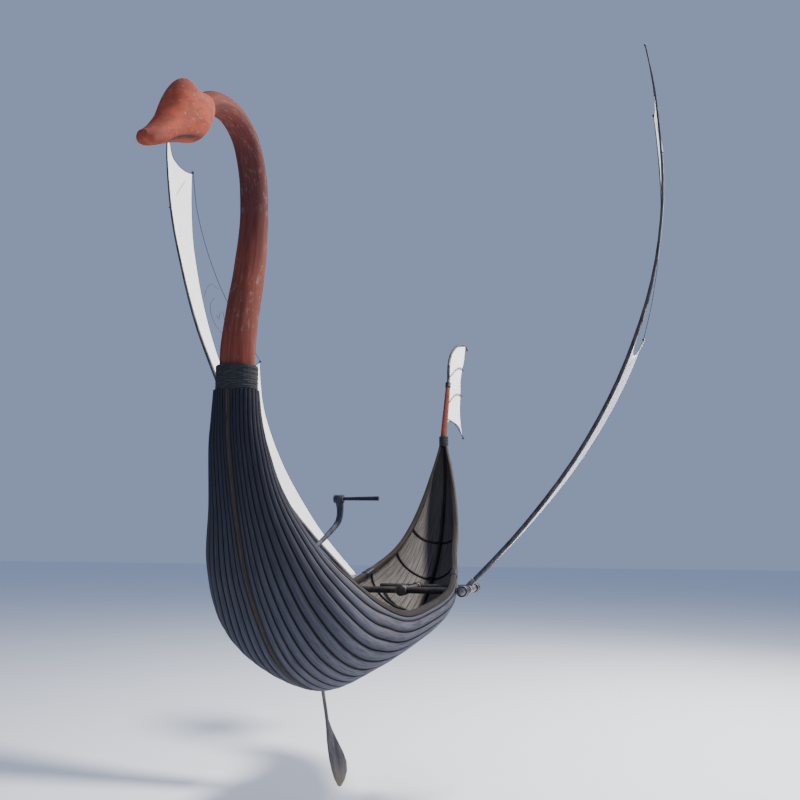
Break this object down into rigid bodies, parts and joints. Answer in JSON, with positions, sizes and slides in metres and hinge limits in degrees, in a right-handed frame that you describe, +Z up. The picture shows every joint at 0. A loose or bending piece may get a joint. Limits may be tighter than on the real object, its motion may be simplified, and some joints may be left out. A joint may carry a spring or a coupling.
{
  "type": "winged swan boat",
  "caption": "Open planked boat with a swan's neck and head, hinged sail-like wings, a tail fin and a steering oar.",
  "frame": {"origin": "middle of the forward wing beam, on the boat's centre plane, where a hidden rig would carry the boat in the air", "axes": "+X towards the bow, +Y to port, +Z up"},
  "size_m": [9.0561, 5.944, 7.8854],
  "materials": {
    "weathered_plank": "weathered, matt",
    "keel_wood": "dark, matt",
    "rail_wood": "dark, worn",
    "dark_iron": "dark, satin",
    "tarred_binding": "tarred",
    "red_wood": "stained, worn",
    "worn_orange_paint": "worn paint",
    "beam_iron": "dark, satin",
    "pale_metal": "satin",
    "spar_wood": "dark varnish",
    "white_membrane": "matt",
    "oar_wood": "weathered"
  },
  "bodies": {
    "boat": {"beam_aft": "beam_iron", "beam_forward": "beam_iron", "bow_collar": "tarred_binding", "centre_shaft": "beam_iron", "frame_1": "keel_wood", "frame_2": "keel_wood", "frame_3": "keel_wood", "frame_4": "keel_wood", "frame_5": "keel_wood", "frame_6": "keel_wood", "frame_7": "keel_wood", "frame_8": "keel_wood", "gunwale_port": "rail_wood", "gunwale_starboard": "rail_wood", "head": "worn_orange_paint", "keel_band": "keel_wood", "keelson": "keel_wood", "neck": "red_wood", "oar_bracket": "dark_iron", "planks_port": "weathered_plank", "planks_starboard": "weathered_plank", "rail_strap_port": "dark_iron", "rail_strap_starboard": "dark_iron", "stern_collar": "tarred_binding", "stern_post": "red_wood", "tail_batten_lower": "spar_wood", "tail_batten_middle": "spar_wood", "tail_batten_upper": "spar_wood", "tail_ring": "dark_iron", "tail_skin": "white_membrane", "tail_spar": "spar_wood", "wing_pin_port": "pale_metal", "wing_pin_starboard": "pale_metal"},
    "wing_port": {"wing_root_port": "pale_metal", "wing_spar_port": "spar_wood", "wing_skin_port": "white_membrane", "wing_stay_port": "dark_iron"},
    "wing_starboard": {"wing_root_starboard": "pale_metal", "wing_spar_starboard": "spar_wood", "wing_skin_starboard": "white_membrane", "wing_stay_starboard": "dark_iron"},
    "oar": {"oar_shaft": "oar_wood", "oar_blade": "oar_wood", "tiller_arm": "oar_wood", "tiller_grip": "dark_iron"}
  },
  "joints": [
    {"name": "wing_port_flap", "type": "hinge", "parent": "boat", "child": "wing_port", "pos_m": [-0.375, 0.69, 0], "axis": [-1, 0, 0], "range_deg": [-5, 75]},
    {"name": "wing_starboard_flap", "type": "hinge", "parent": "boat", "child": "wing_starboard", "pos_m": [-0.375, -0.69, 0], "axis": [1, 0, 0], "range_deg": [-5, 75]},
    {"name": "oar_turn", "type": "hinge", "parent": "boat", "child": "oar", "pos_m": [0.985, -0.77, 0.33], "axis": [0.386, 0, 0.9225], "range_deg": [-35, 35]}
  ]
}
